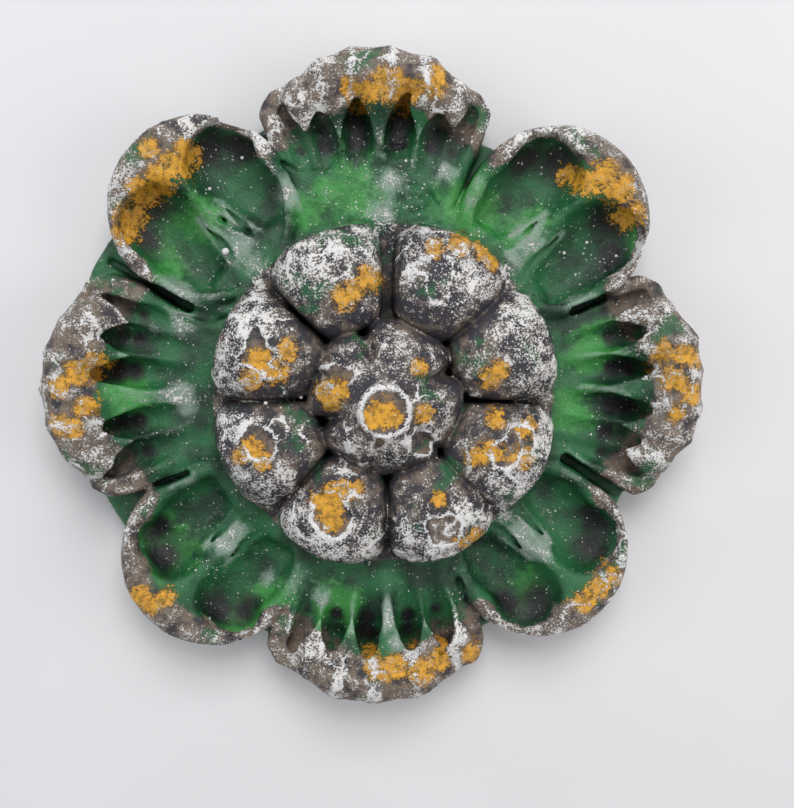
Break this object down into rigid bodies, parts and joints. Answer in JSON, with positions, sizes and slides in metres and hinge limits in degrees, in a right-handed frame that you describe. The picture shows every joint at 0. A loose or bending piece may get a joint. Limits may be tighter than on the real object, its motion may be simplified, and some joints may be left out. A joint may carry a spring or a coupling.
{
  "type": "rosette wall tile",
  "caption": "Round cast rosette tile with fluted and double-scooped petals, a ring of wedge bosses and a grooved centre dome, painted green with worn white and ochre.",
  "frame": {"origin": "middle of the flat back, under the middle of the tile's outline", "axes": "+Z out of the decorated face, +Y towards the picture's top, +X to its right"},
  "size_m": [0.1539, 0.1539, 0.031],
  "materials": {
    "painted_cast": "satin green paint over a rough casting, dry-brushed white with ochre patches"
  },
  "bodies": {
    "root": {"rosette": "painted_cast"}
  },
  "joints": []
}
